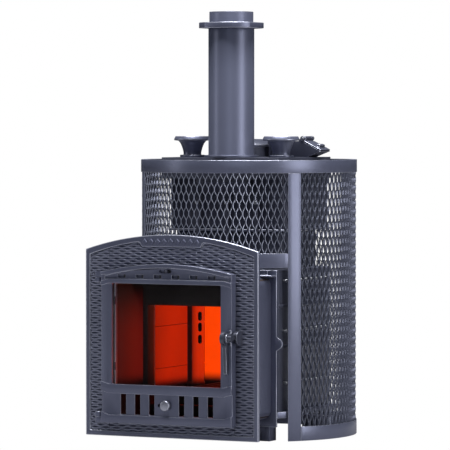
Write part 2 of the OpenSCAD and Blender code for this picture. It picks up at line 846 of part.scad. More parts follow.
module hatch_inside() polygon([
    [hatch_left + hatch_wall, cap_z - 1], [hatch_left + hatch_wall, hatch_top - hatch_wall],
    [mouth_x - 2, hatch_top - hatch_wall], [mouth_x + 7, hatch_top + 4],
    mouth_tip + [30, 16], mouth_tip + [10, 8.1],
    [hatch_right - 11, cap_z], [hatch_right - 11, cap_z - 1]
]);

module hatch_hopper() color(graphite) placed() difference() {
    union() {
        upright(hatch_y - hatch_half, 2 * hatch_half) hatch_section();
        for (y = [hatch_y - hatch_half, hatch_y + hatch_half - 5]) {
            rod_y(hatch_x, y, hatch_pin_z, 13, 5);
            upright(y, 5) polygon([
                [hatch_x - 12, hatch_top - 1], [hatch_x + 2, hatch_top - 2], [hatch_x + 6, hatch_pin_z],
                [hatch_x + 3, hatch_pin_z + 5.5], [hatch_x - 3, hatch_pin_z + 5.5]
            ]);
        }
    }
    upright(hatch_y - hatch_half + hatch_wall, 2 * hatch_half - 2 * hatch_wall) hatch_inside();
    rod_y(hatch_x, hatch_y - hatch_half - 1, hatch_pin_z, hatch_pin_d, 2 * hatch_half + 2);
}

module hatch_pin() color(bare_steel) placed() {
    rod_y(hatch_x, hatch_y - hatch_half - 2, hatch_pin_z, hatch_pin_d, 2 * hatch_half + 4);
    for (y = [hatch_y - hatch_half - 4, hatch_y + hatch_half + 2]) rod_y(hatch_x, y, hatch_pin_z, 10, 2);
}

module hatch_flap() color(graphite) placed() difference() {
    union() {
        rod_y(hatch_x, hatch_y - flap_half + 2, hatch_pin_z, 12, 2 * flap_half - 4);
        translate([hatch_x, hatch_y, hatch_pin_z]) rotate([0, flap_drop, 0]) {
            box([3, -flap_half, -7], [10, flap_half, flap_t - 7]);
            box([9, -hatch_half, -7], [flap_len, hatch_half, flap_t - 7]);
            box([flap_len - 20, -16, flap_t - 8], [flap_len - 12, 16, flap_t]);
        }
    }
    rod_y(hatch_x, hatch_y - hatch_half, hatch_pin_z, hatch_pin_d + 2 * run_fit, 2 * hatch_half);
}

// ---- Funnels and flue ----

// A funnel: a round neck that flares to the throat, and a wide rim around it
module funnel() {
    wall = 2.5;
    neck = neck_d / 2;
    throat = throat_d / 2;
    rim = funnel_d / 2;
    flare = funnel_h - 12;
    rotate_extrude($fn = 96) polygon([
        [neck, 0], [neck, flare * 0.3], [neck + (throat - neck) * 0.24, flare * 0.58],
        [neck + (throat - neck) * 0.56, flare * 0.82], [throat, flare],
        [rim - 1, flare + 1], [rim, flare + 4], [rim - 4, funnel_h], [rim - 6, funnel_h],
        [rim - 8, flare + 5], [throat - wall, flare + 3],
        [neck + (throat - neck) * 0.56 - wall, flare * 0.82 + 1],
        [neck + (throat - neck) * 0.24 - wall, flare * 0.58 + 1],
        [neck - wall, flare * 0.3], [neck - wall, 0]
    ]);
    difference() {
        cylinder(d = neck_d + 18, h = 6);
        translate([0, 0, -1]) cylinder(d = neck_d - 2 * wall, h = 8);
    }
}

module right_funnel() color(graphite) placed() translate([funnel_x, funnel_y, cap_z]) funnel();

module left_funnel() color(graphite) placed() translate([-funnel_x, funnel_y, cap_z]) funnel();

module water_pipes() color(bare_steel) placed()
    for (x = [-funnel_x, funnel_x]) translate([x, funnel_y, ledge_z + 50]) difference() {
        cylinder(d = pipe_d, h = cap_z - wall_t - ledge_z - 50);
        translate([0, 0, -1]) cylinder(d = pipe_d - 5, h = cap_z - ledge_z);
    }

module flue_pipe() color(graphite) placed() translate([0, flue_y, 0]) difference() {
    union() {
        translate([0, 0, cap_z]) cylinder(d = flue_d, h = flue_top - spigot_len - cap_z, $fn = 96);
        translate([0, 0, cap_z]) cylinder(d = flue_d + 22, h = 6, $fn = 96);
        translate([0, 0, flue_top - spigot_len - 1]) cylinder(d = spigot_d, h = spigot_len + 1, $fn = 96);
    }
    translate([0, 0, cap_z - 1]) cylinder(d = spigot_d - 2 * flue_t, h = flue_top, $fn = 96);
}

collar_h = 15;

module flue_collar() color(graphite) placed() translate([0, flue_y, flue_top - spigot_len - collar_h])
    difference() {
        linear_extrude(collar_h) intersection() {
            square([collar_w, collar_w], center = true);
            circle(d = collar_w * 1.127, $fn = 96);
        }
        translate([0, 0, -1]) cylinder(d = flue_d + 0.2, h = collar_h + 2, $fn = 96);
    }

// ---- Stone cage ----

module cage_top_ring() color(graphite) placed() rotate_extrude($fn = 180) polygon([
    [inner_r, cage_h - top_band_h], [cage_r, cage_h - top_band_h], [cage_r, cage_h],
    [cage_r - lip_w, cage_h], [cage_r - lip_w, cage_h - band_t], [inner_r, cage_h - band_t]
]);

module cage_base_ring() color(graphite) placed()
    band(post_angle + post_half + 0.1, 360 - post_angle - post_half - 0.1, inner_r, cage_r, 0, base_band_h);

module post(middle)
    band(middle - post_half, middle + post_half, inner_r, cage_r, 0, cage_h - top_band_h - gap);

module right_post() color(graphite) placed() post(post_angle);

module left_post() color(graphite) placed() post(-post_angle);

module cage_bar() color(graphite) placed()
    band(-post_angle + post_half + 0.05, post_angle - post_half - 0.05, inner_r, cage_r, bar_z, bar_z + bar_h);

module front_mesh() color(graphite) placed()
    band(-post_angle + 0.4, post_angle - 0.4, mesh_r - mesh_t, mesh_r,
        bar_z + bar_h - mesh_tuck, cage_h - top_band_h + mesh_tuck);

module side_mesh() color(graphite) placed()
    band(post_angle + 0.4, 360 - post_angle - 0.4, mesh_r - mesh_t, mesh_r,
        base_band_h - mesh_tuck, cage_h - top_band_h + mesh_tuck);

bracket_y = 60;
bracket_half = 12;

module cage_brackets() color(dark_iron) placed() {
    far = bracket_y + bracket_half;
    mesh_x = sqrt(pow(mesh_r - mesh_t, 2) - far * far) - gap;
    band_x = sqrt(inner_r * inner_r - far * far) - gap;
    for (y = [-bracket_y, bracket_y]) both_sides() {
        box([168, y - bracket_half, foot_h - 5], [mesh_x, y + bracket_half, foot_h - gap]);
        box([mesh_x - 4, y - bracket_half, 4], [mesh_x, y + bracket_half, foot_h - 5]);
        box([mesh_x, y - bracket_half, 4], [band_x, y + bracket_half, base_band_h - mesh_tuck - 2]);
    }
}

portal_plate();
door_keeper();
portal_knuckles();
hinge_pins();
door_gasket();
fire_tunnel();
tunnel_flange();
tunnel_bracket();
tunnel_liner();
portal_studs();
tunnel_tabs();
base_tray();
feet();
firebox_left_wall();
firebox_right_wall();
firebox_back_wall();
firebox_floor();
firebox_roof();
firebox_neck();
wall_liners();
heat_studs();
fire_grate();
ash_pan();
air_columns();
flame_baffle();
heater_ledge();
heater_shell();
heater_breech();
heater_ribs();
rib_bolts();
stone_box();
heater_cap();
centre_cover();
hatch_hopper();
hatch_pin();
hatch_flap();
left_funnel();
right_funnel();
water_pipes();
flue_pipe();
flue_collar();
cage_top_ring();
cage_base_ring();
left_post();
right_post();
cage_bar();
front_mesh();
side_mesh();
cage_brackets();
door_frame();
door_glass();
glass_seal();
glass_clips();
air_liner();
handle_bracket();
door_handle();
air_plate();
air_knob();
vent_plate();
vent_pin();
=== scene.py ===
import json
import math

import bmesh
import bpy
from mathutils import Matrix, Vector


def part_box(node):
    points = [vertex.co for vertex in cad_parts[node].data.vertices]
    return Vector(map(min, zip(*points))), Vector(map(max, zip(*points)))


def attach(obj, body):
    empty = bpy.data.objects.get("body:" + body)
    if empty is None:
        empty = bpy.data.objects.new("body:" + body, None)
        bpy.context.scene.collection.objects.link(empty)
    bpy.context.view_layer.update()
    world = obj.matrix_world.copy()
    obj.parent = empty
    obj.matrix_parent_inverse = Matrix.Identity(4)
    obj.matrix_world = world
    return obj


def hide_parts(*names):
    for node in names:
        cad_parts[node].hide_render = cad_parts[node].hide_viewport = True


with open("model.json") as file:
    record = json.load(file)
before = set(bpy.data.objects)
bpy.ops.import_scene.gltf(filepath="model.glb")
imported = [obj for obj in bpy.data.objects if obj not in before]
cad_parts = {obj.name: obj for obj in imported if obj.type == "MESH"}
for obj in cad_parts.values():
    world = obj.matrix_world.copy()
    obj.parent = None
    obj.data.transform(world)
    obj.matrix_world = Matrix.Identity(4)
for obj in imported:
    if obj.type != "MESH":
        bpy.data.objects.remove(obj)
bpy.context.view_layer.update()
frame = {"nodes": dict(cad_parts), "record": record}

# ---- Camera ----
# A long lens stands about nine metres off, a little to the right of the door, at the height of
# the flue's lower third, and looks a touch down.
ring_low, ring_high = (Vector(corner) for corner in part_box("cage_top_ring"))
cage = (ring_low + ring_high) / 2
camera_turn = math.radians(26.7)
camera_far = 9.247
camera_aside = 0.0634
camera_up = 0.8214
camera_dip = 1.686
sight = Vector((-math.sin(camera_turn), math.cos(camera_turn), 0))
aside = Vector((math.cos(camera_turn), math.sin(camera_turn), 0))
camera_data = bpy.data.cameras.new("camera")
camera_data.sensor_width = 36
camera_data.lens = 280
camera_data.clip_end = 200
camera = bpy.data.objects.new("camera", camera_data)
camera.location = Vector((cage.x, cage.y, 0)) - sight * camera_far - aside * camera_aside
camera.location.z = camera_up
camera.rotation_euler = (math.radians(90 - camera_dip), 0, camera_turn)
bpy.context.collection.objects.link(camera)
bpy.context.scene.camera = camera

# ---- Studio ----
# The floor and the room look white, but give little light back. One broad light stands on the
# right, a narrow one on the left and a weak one in front. A large one overhead puts the pale lines
# on the upper edges of the castings.
bpy.context.scene.view_settings.view_transform = "Standard"
aim_height = 0.55


def area_light(name, turn, far, height, size, power, colour=(1, 1, 1)):
    data = bpy.data.lights.new(name, "AREA")
    data.shape = "RECTANGLE"
    data.size, data.size_y = size
    data.energy = power
    data.color = colour
    lamp = bpy.data.objects.new(name, data)
    around = camera_turn + math.radians(turn)
    middle = Vector((cage.x, cage.y - 0.1, aim_height))
    lamp.location = middle + Vector((math.sin(around), -math.cos(around), 0)) * far
    lamp.location.z = height
    lamp.rotation_euler = (middle - lamp.location).to_track_quat("-Z", "Y").to_euler()
    lamp.visible_camera = False
    bpy.context.collection.objects.link(lamp)
    return lamp


area_light("right_softbox", 54, 3.6, 1.1, (1.5, 2.6), 70, (0.98, 0.98, 1.0))
area_light("left_strip", -84, 3.0, 0.9, (0.3, 2.6), 12)
area_light("front_fill", -10, 6.0, 1.8, (2.5, 2.0), 22, (0.9, 0.94, 1.0))
overhead = area_light("overhead", 0, 0.3, 3.4, (2.2, 2.2), 330)
overhead.rotation_euler = (0, 0, 0)

world = bpy.data.worlds.new("white_room")
world.use_nodes = True
bpy.context.scene.world = world
room = world.node_tree
room.nodes.clear()
path = room.nodes.new("ShaderNodeLightPath")
seen = room.nodes.new("ShaderNodeBackground")
seen.inputs["Color"].default_value = (1, 1, 1, 1)
seen.inputs["Strength"].default_value = 1.0
lit = room.nodes.new("ShaderNodeBackground")
lit.inputs["Color"].default_value = (0.7, 0.8, 1.0, 1)
lit.inputs["Strength"].default_value = 0.09
either = room.nodes.new("ShaderNodeMixShader")
room_out = room.nodes.new("ShaderNodeOutputWorld")
room.links.new(path.outputs["Is Camera Ray"], either.inputs["Fac"])
room.links.new(lit.outputs["Background"], either.inputs[1])
room.links.new(seen.outputs["Background"], either.inputs[2])
room.links.new(either.outputs["Shader"], room_out.inputs["Surface"])


def new_mesh(name, bm):
    mesh = bpy.data.meshes.new(name)
    bm.to_mesh(mesh)
    bm.free()
    thing = bpy.data.objects.new(name, mesh)
    bpy.context.collection.objects.link(thing)
    return thing


floor_bm = bmesh.new()
bmesh.ops.create_circle(floor_bm, cap_ends=True, segments=96, radius=90)
floor = new_mesh("floor", floor_bm)
floor.data.flip_normals()
floor_paint = bpy.data.materials.new("floor_paint")
floor_paint.use_nodes = True
floor_tree = floor_paint.node_tree
floor_shader = floor_tree.nodes["Principled BSDF"]
floor_shader.inputs["Base Color"].default_value = (0.30, 0.30, 0.31, 1)
floor_shader.inputs["Roughness"].default_value = 0.9
white = floor_tree.nodes.new("ShaderNodeEmission")
looked_at = floor_tree.nodes.new("ShaderNodeLightPath")
floor_mix = floor_tree.nodes.new("ShaderNodeMixShader")
floor_tree.links.new(looked_at.outputs["Is Camera Ray"], floor_mix.inputs["Fac"])
floor_tree.links.new(floor_shader.outputs["BSDF"], floor_mix.inputs[1])
floor_tree.links.new(white.outputs["Emission"], floor_mix.inputs[2])
floor_tree.links.new(floor_mix.outputs["Shader"],
                     floor_tree.nodes["Material Output"].inputs["Surface"])
floor.data.materials.append(floor_paint)
floor_drop = 0.0005
floor.location.z = -floor_drop

# ---- Base tray and feet ----
# A flat cast tray under the firebox, on four feet. Both are cast iron under a graphite paint, which
# is a little blue: its shade drifts over the piece, and a fine sand grain shows through it.
body_of_node = {node: body for body, nodes in frame["record"]["behaviour"]["bodies"].items()
                for node in nodes}


def finish(name, dark, light, rough, metal=0.0, drift=9.0, grain=900.0, relief=0.1, spread=0.08):
    """A colour that drifts over the piece, with a grain that changes its gloss and its surface."""
    made = bpy.data.materials.new(name)
    made.use_nodes = True
    tree = made.node_tree
    shader = tree.nodes["Principled BSDF"]
    place = tree.nodes.new("ShaderNodeTexCoord")

    def noise(scale, detail):
        node = tree.nodes.new("ShaderNodeTexNoise")
        node.inputs["Scale"].default_value = scale
        node.inputs["Detail"].default_value = detail
        tree.links.new(place.outputs["Object"], node.inputs["Vector"])
        return node

    broad = noise(drift, 5)
    fine = noise(grain, 3)
    shades = tree.nodes.new("ShaderNodeMix")
    shades.data_type = "RGBA"
    shades.inputs[6].default_value = (*dark, 1)
    shades.inputs[7].default_value = (*light, 1)
    tree.links.new(broad.outputs["Fac"], shades.inputs["Factor"])
    tree.links.new(shades.outputs[2], shader.inputs["Base Color"])
    sheen = tree.nodes.new("ShaderNodeMapRange")
    sheen.inputs["To Min"].default_value = rough - spread
    sheen.inputs["To Max"].default_value = rough + spread
    tree.links.new(fine.outputs["Fac"], sheen.inputs["Value"])
    tree.links.new(sheen.outputs["Result"], shader.inputs["Roughness"])
    bump = tree.nodes.new("ShaderNodeBump")
    bump.inputs["Strength"].default_value = relief
    bump.inputs["Distance"].default_value = 0.0006
    tree.links.new(fine.outputs["Fac"], bump.inputs["Height"])
    tree.links.new(bump.outputs["Normal"], shader.inputs["Normal"])
    shader.inputs["Metallic"].default_value = metal
    return made


edge_angle = math.radians(34)
flat_angle = math.radians(1.5)


def dress(node, paint, edge=0.0010, steps=2, edge_paint=None, spare=0.0):
    """Takes a piece over from the frame, rounds its edges and paints it and its edges.

    Edges that end at one shorter than spare stay sharp.
    """
    bm = bmesh.new()
    bm.from_mesh(frame["nodes"][node].data)
    bmesh.ops.remove_doubles(bm, verts=bm.verts, dist=1e-5)
    bmesh.ops.dissolve_limit(bm, angle_limit=flat_angle, verts=bm.verts, edges=bm.edges)
    if edge:
        sharp = [e for e in bm.edges
                 if len(e.link_faces) == 2 and e.calc_face_angle(0) > edge_angle
                 and all(other.calc_length() > spare for v in e.verts for other in v.link_edges)]
        rounded = bmesh.ops.bevel(
            bm, geom=sharp, offset=edge, offset_type="OFFSET", segments=steps,
            profile=0.5, affect="EDGES", clamp_overlap=True)
        # The rounded edges get edge_paint, which is a painted highlight where one is given.
        for face in rounded["faces"]:
            face.material_index = 1
    bmesh.ops.triangulate(bm, faces=[f for f in bm.faces if len(f.verts) > 4])
    for face in bm.faces:
        face.smooth = True
    piece = new_mesh(node + "_finished", bm)
    piece.data.set_sharp_from_angle(angle=edge_angle)
    piece.data.materials.append(paint)
    piece.data.materials.append(edge_paint or paint)
    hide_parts(node)
    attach(piece, body_of_node[node])
    return piece


cast_paint = finish("cast_paint", (0.085, 0.092, 0.142), (0.115, 0.124, 0.182), 0.36, 0.5,
                    relief=0.22)
# A much lighter, glossier paint for the rounded edges: a painted highlight where edges catch the
# light.
edge_highlight = finish("edge_highlight", (0.30, 0.31, 0.38), (0.46, 0.48, 0.56), 0.30, 0.8,
                     relief=0.1)
dress("base_tray", cast_paint, edge_paint=edge_highlight)
dress("feet", cast_paint)

# ---- Firebox ----
# Five thick plates welded to a box, with two stiffening ribs on each side wall and rows of studs
# that carry heat out to the stones. The outside is painted, and the floor inside is sooty.
soot_iron = finish("soot_iron", (0.006, 0.005, 0.006), (0.02, 0.016, 0.016), 0.8, 0.1,
                   relief=0.5)
bright_steel = finish("bright_steel", (0.38, 0.39, 0.42), (0.5, 0.51, 0.54), 0.3, 1.0,
                      relief=0.06)
# A darker copy of the cast paint for the plates inside and on top of the cage: painted shade.
plate_shade_paint = finish("plate_shade_paint", (0.04, 0.043, 0.065), (0.06, 0.065, 0.095), 0.42, 0.4,
                     relief=0.2)
for node in ("firebox_left_wall", "firebox_right_wall", "firebox_roof", "firebox_neck"):
    dress(node, plate_shade_paint)
dress("firebox_floor", soot_iron)
dress("heat_studs", bright_steel, 0.0004)


# ---- Painted firelight on the plates inside the firebox ----
# The inner panels of the side walls, the back wall and the two air columns are bare cast iron.
# Their
# red is painted firelight: an emission, strongest where they face the fire, that fades out below
# the grate.
def repaint(piece, paint, where):
    """Paints the faces of a piece for which where(face) is true."""
    piece.data.materials.append(paint)
    for face in piece.data.polygons:
        if where(face):
            face.material_index = len(piece.data.materials) - 1


def painted_firelight(name, colour, strength, spans):
    """Iron with painted firelight that rises along each span (axis, dark_from, full_at, least)."""
    made = finish(name, (0.008, 0.003, 0.002), (0.02, 0.006, 0.004), 0.85, relief=0.3)
    tree = made.node_tree
    shader = tree.nodes["Principled BSDF"]
    place = tree.nodes.new("ShaderNodeTexCoord")
    split = tree.nodes.new("ShaderNodeSeparateXYZ")
    tree.links.new(place.outputs["Object"], split.inputs["Vector"])
    patches = tree.nodes.new("ShaderNodeTexNoise")
    patches.inputs["Scale"].default_value = 7
    patches.inputs["Detail"].default_value = 3
    tree.links.new(place.outputs["Object"], patches.inputs["Vector"])
    glow = tree.nodes.new("ShaderNodeMapRange")
    glow.inputs["To Min"].default_value = strength * 0.75
    glow.inputs["To Max"].default_value = strength * 1.25
    tree.links.new(patches.outputs["Fac"], glow.inputs["Value"])
    so_far = glow.outputs["Result"]
    for axis, dark_from, full_at, least in spans:
        along = split.outputs[axis]
        if axis == "X":
            size = tree.nodes.new("ShaderNodeMath")
            size.operation = "ABSOLUTE"
            tree.links.new(along, size.inputs[0])
            along = size.outputs["Value"]
        fade = tree.nodes.new("ShaderNodeMapRange")
        fade.interpolation_type = "SMOOTHSTEP"
        fade.inputs["From Min"].default_value = dark_from
        fade.inputs["From Max"].default_value = full_at
        fade.inputs["To Min"].default_value = least
        tree.links.new(along, fade.inputs["Value"])
        both = tree.nodes.new("ShaderNodeMath")
        both.operation = "MULTIPLY"
        tree.links.new(so_far, both.inputs[0])
        tree.links.new(fade.outputs["Result"], both.inputs[1])
        so_far = both.outputs["Value"]
    shader.inputs["Emission Color"].default_value = (*colour, 1)
    tree.links.new(so_far, shader.inputs["Emission Strength"])
    return made


grate_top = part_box("fire_grate")[1][2]
front_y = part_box("wall_liners")[0][1]
above_grate = ("Z", grate_top, grate_top + 0.03, 0.0)
# Each of these paints firelight onto a plate as a red emission.
liner_firelight = painted_firelight("liner_firelight", (1.0, 0.026, 0.0), 0.48,
                     [above_grate, ("Y", front_y - 0.02, front_y + 0.10, 0.6)])
liners = dress("wall_liners", liner_firelight, 0.0014)
repaint(liners, soot_iron,
        lambda face: face.normal.x * face.center.x > 0.2 * abs(face.center.x))
back_firelight = painted_firelight("back_firelight", (1.0, 0.055, 0.0), 1.05, [above_grate])
back_wall = dress("firebox_back_wall", back_firelight)
repaint(back_wall, cast_paint, lambda face: face.normal.y > -0.5)
column_low, column_high = (Vector(corner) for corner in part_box("air_columns"))
column_r = (column_high.y - column_low.y) / 2
column_x = column_high.x - column_r
column_y = column_low.y + column_r
column_firelight = painted_firelight("column_firelight", (1.0, 0.032, 0.0), 0.62,
                      [above_grate, ("X", column_x + 0.008, column_x - 0.018, 0.10)])
columns = dress("air_columns", column_firelight, 0.0006)
repaint(columns, soot_iron, lambda face: math.hypot(
    abs(face.center.x) - column_x, face.center.y - column_y) < column_r - 0.0025)

# ---- Grate, ash pan and flame baffle ----
# Loose castings inside the firebox: bars that hold the fire, a pan below them, and a plate above
# that turns the flames back before they reach the heater.
for node in ("fire_grate", "ash_pan", "flame_baffle"):
    dress(node, soot_iron)

# ---- Fire tunnel ----
# A short steel duct that carries the door through the wall of the sauna. It is welded to a flange
# on the firebox and painted outside; inside it carries painted firelight, a red emission, and a
# loose black frame lines its far end.
tunnel_low, tunnel_high = (Vector(corner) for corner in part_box("fire_tunnel"))
tunnel_wall = 0.006
# Painted firelight on the inner faces of the tunnel, as a red emission.
tunnel_firelight = painted_firelight("tunnel_firelight", (1.0, 0.03, 0.012), 0.12, [
    ("X", tunnel_high.x - 0.0030, tunnel_high.x - tunnel_wall, 0.0),
    ("Z", tunnel_high.z - 0.02, tunnel_high.z - 0.16, 0.0),
    ("Z", tunnel_low.z + 0.085, tunnel_low.z + 0.12, 0.0),
    ("Y", tunnel_low.y, tunnel_high.y - 0.06, 0.45)])
tunnel = dress("fire_tunnel", tunnel_firelight, 0.0008)
repaint(tunnel, cast_paint, lambda face: not (
    abs(face.center.x) < tunnel_high.x - 0.004
    and tunnel_low.z + 0.004 < face.center.z < tunnel_high.z - 0.004
    and abs(face.normal.y) < 0.5))
dress("tunnel_liner", soot_iron)
for node in ("tunnel_flange", "tunnel_bracket", "tunnel_tabs"):
    dress(node, cast_paint, edge_paint=edge_highlight)
dress("portal_studs", bright_steel, 0.0004)

# ---- Portal ----
# A cast plate with an arched top, which covers the hole in the wall. It has a plain raised border,
# and its sunk field is filled with wavy ribs that touch their neighbours in turn. The ribs carry
# painted shade, darker the deeper they lie towards the valleys, and their crests are painted
# lighter as a painted highlight.
dress("portal_plate", cast_paint, 0.0018, 3, edge_highlight)
dress("door_gasket", finish("rope_weave", (0.03, 0.028, 0.026), (0.09, 0.085, 0.08), 0.9,
                            grain=500, relief=0.9), 0)
portal_low, portal_high = (Vector(corner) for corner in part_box("portal_plate"))
border = 0.013
field_y = portal_low.y + 0.005
seat_half = 0.178
door_low, door_high = (Vector(corner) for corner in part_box("door_frame"))
tab_half = 0.086
tab_low = portal_high.z - 0.0315
arch_rise = 0.0395
tab_slope = 0.9
rib_tall = 0.0034
rib_pitch = 0.00635
rib_swing = 0.0018
rib_wave = 0.0315
rib_step = 0.00375
rib_flank = 0.0018
rib_shoulder = 0.82
merged_gap = 0.0026
valley_gap = 0.0030
rib_lift = 0.00002
rib_root = 0.0006
seat_gap = 0.001
foot_overlap = 0.006
arch_overlap = 0.026


def field_top(x):
    """The upper edge of the sunk field: the arch inside the border, or the tab's lower edge."""
    half = portal_high.x - border
    arc_r = (half * half + arch_rise * arch_rise) / (2 * arch_rise)
    arch = portal_high.z - border - arc_r + math.sqrt(arc_r * arc_r - x * x)
    beside_tab = max(0.0, abs(x) - tab_half)
    return min(arch, tab_low + beside_tab * tab_slope)


def rib_rows(low, high, x):
    """(height, relief) pairs up one column: crest, flank, valley and flank of each wavy rib."""
    wave = rib_swing * math.cos(2 * math.pi * x / rib_wave)
    rows = []
    for k in range(int(low / rib_pitch) - 2, int(high / rib_pitch) + 3):
        here = k * rib_pitch + (wave if k % 2 else -wave)
        after = (k + 1) * rib_pitch + (-wave if k % 2 else wave)
        apart = after - here
        sunk = min(1.0, max(0.1, (apart - merged_gap) / valley_gap))
        flank = min(rib_flank, apart * 0.4)
        rows += [(here, rib_tall), (here + flank, rib_tall * rib_shoulder),
                 ((here + after) / 2, rib_tall * (1 - sunk)),
                 (after - flank, rib_tall * rib_shoulder)]
    return rows


def rib_panel(bm, from_x, to_x, low_of, high_of):
    """One stretch of the ribbed field, as columns whose points stay between low and high."""
    columns = round((to_x - from_x) / rib_step)
    grid = []
    for i in range(columns + 1):
        x = from_x + (to_x - from_x) * i / columns
        low, high = low_of(x), high_of(x)
        column = []
        for z, tall in rib_rows(portal_low.z, portal_high.z, x):
            inside = low < z < high
            column.append((x, min(high, max(low, z)), tall if inside else 0.0, inside))
        grid.append(column)
    points = {}

    def point(i, j):
        x, z, tall, inside = grid[i][j]
        key = (i, round(z, 6))
        if key not in points:
            points[key] = bm.verts.new((x, field_y - tall - rib_lift, z))
        return points[key]

    for i in range(columns):
        for j in range(len(grid[0]) - 1):
            if not any(grid[a][b][3] for a in (i, i + 1) for b in (j, j + 1)):
                continue
            ring = []
            for a, b in ((i, j), (i + 1, j), (i + 1, j + 1), (i, j + 1)):
                corner = point(a, b)
                if corner not in ring:
                    ring.append(corner)
            if len(ring) > 2:
                bm.faces.new(ring)


ribs_bm = bmesh.new()
field_side = portal_high.x - border
foot = portal_low.z + border
for side in (-1, 1):
    near, far = sorted((side * (seat_half + seat_gap), side * field_side))
    rib_panel(ribs_bm, near, far, lambda x: foot, field_top)
rib_panel(ribs_bm, -seat_half, seat_half, lambda x: foot, lambda x: door_low.z + foot_overlap)
rib_panel(ribs_bm, -seat_half, seat_half, lambda x: door_high.z - arch_overlap, field_top)
raised = bmesh.ops.extrude_face_region(ribs_bm, geom=ribs_bm.faces[:])
for vert in raised["geom"]:
    if isinstance(vert, bmesh.types.BMVert):
        vert.co.y = field_y + rib_root
bmesh.ops.recalc_face_normals(ribs_bm, faces=ribs_bm.faces[:])
for face in ribs_bm.faces:
    face.smooth = True
portal_ribs = new_mesh("portal_ribs", ribs_bm)
portal_ribs.data.set_sharp_from_angle(angle=math.radians(50))
# Lighter than the plain cast paint and mixed darker towards the valleys: painted shade in the
# valleys, painted highlight on the crests.
field_shade_and_highlight = finish("field_shade_and_highlight", (0.15, 0.16, 0.22), (0.20, 0.21, 0.28), 0.34, 0.5,
                     relief=0.22)
field_tree = field_shade_and_highlight.node_tree
field_shader = field_tree.nodes["Principled BSDF"]
field_place = field_tree.nodes.new("ShaderNodeTexCoord")
field_axes = field_tree.nodes.new("ShaderNodeSeparateXYZ")
height = field_tree.nodes.new("ShaderNodeMapRange")
height.inputs["From Min"].default_value = field_y - 0.0004
height.inputs["From Max"].default_value = field_y - rib_tall
crest = field_tree.nodes.new("ShaderNodeMix")
crest.data_type = "RGBA"
crest.inputs[6].default_value = (0.06, 0.066, 0.1, 1)
field_tree.links.new(field_place.outputs["Object"], field_axes.inputs["Vector"])
field_tree.links.new(field_axes.outputs["Y"], height.inputs["Value"])
field_tree.links.new(height.outputs["Result"], crest.inputs["Factor"])
field_tree.links.new(field_shader.inputs["Base Color"].links[0].from_socket, crest.inputs[7])
field_tree.links.new(crest.outputs[2], field_shader.inputs["Base Color"])
portal_ribs.data.materials.append(field_shade_and_highlight)
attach(portal_ribs, "stove")


# ---- Lozenges on the portal's tab ----
# A plain row of small raised lozenges, cast with the tab at the top of the arch.
def copies_tree():
    """Puts a copy of one piece on every point, turned by the point's own turn."""
    tree = bpy.data.node_groups.new("copies_on_points", "GeometryNodeTree")
    face = tree.interface
    face.new_socket("Geometry", in_out="INPUT", socket_type="NodeSocketGeometry")
    face.new_socket("Pattern piece", in_out="INPUT", socket_type="NodeSocketObject")
    face.new_socket("Finish", in_out="INPUT", socket_type="NodeSocketMaterial")
    face.new_socket("Geometry", in_out="OUTPUT", socket_type="NodeSocketGeometry")
    start = tree.nodes.new("NodeGroupInput")
    end = tree.nodes.new("NodeGroupOutput")
    piece = tree.nodes.new("GeometryNodeObjectInfo")
    turn = tree.nodes.new("GeometryNodeInputNamedAttribute")
    turn.data_type = "FLOAT"
    turn.inputs["Name"].default_value = "turn"
    euler = tree.nodes.new("ShaderNodeCombineXYZ")
    put = tree.nodes.new("GeometryNodeInstanceOnPoints")
    real = tree.nodes.new("GeometryNodeRealizeInstances")
    coat = tree.nodes.new("GeometryNodeSetMaterial")
    tree.links.new(start.outputs["Geometry"], put.inputs["Points"])
    tree.links.new(start.outputs["Pattern piece"], piece.inputs["Object"])
    tree.links.new(piece.outputs["Geometry"], put.inputs["Instance"])
    tree.links.new(turn.outputs["Attribute"], euler.inputs["Z"])
    tree.links.new(euler.outputs["Vector"], put.inputs["Rotation"])
    tree.links.new(put.outputs["Instances"], real.inputs["Geometry"])
    tree.links.new(real.outputs["Geometry"], coat.inputs["Geometry"])
    tree.links.new(start.outputs["Finish"], coat.inputs["Material"])
    tree.links.new(coat.outputs["Geometry"], end.inputs["Geometry"])
    return tree


copies = copies_tree()


def repeat(name, pattern, places, paint):
    """Puts a copy of pattern at each (point, turn) and returns one plain mesh."""
    mesh = bpy.data.meshes.new(name + "_places")
    mesh.from_pydata([tuple(point) for point, turn in places], [], [])
    mesh.attributes.new("turn", "FLOAT", "POINT").data.foreach_set(
        "value", [turn for point, turn in places])
    holder = bpy.data.objects.new(name + "_places", mesh)
    bpy.context.collection.objects.link(holder)
    modifier = holder.modifiers.new("copies", "NODES")
    modifier.node_group = copies
    named = {item.name: item.identifier for item in copies.interface.items_tree
             if item.in_out == "INPUT"}
    modifier[named["Pattern piece"]] = pattern
    modifier[named["Finish"]] = paint
    bpy.context.view_layer.update()
    graph = bpy.context.evaluated_depsgraph_get()
    result = bpy.data.meshes.new_from_object(holder.evaluated_get(graph))
    bpy.data.objects.remove(holder)
    bpy.data.objects.remove(pattern)
    piece = bpy.data.objects.new(name, result)
    bpy.context.collection.objects.link(piece)
    return piece


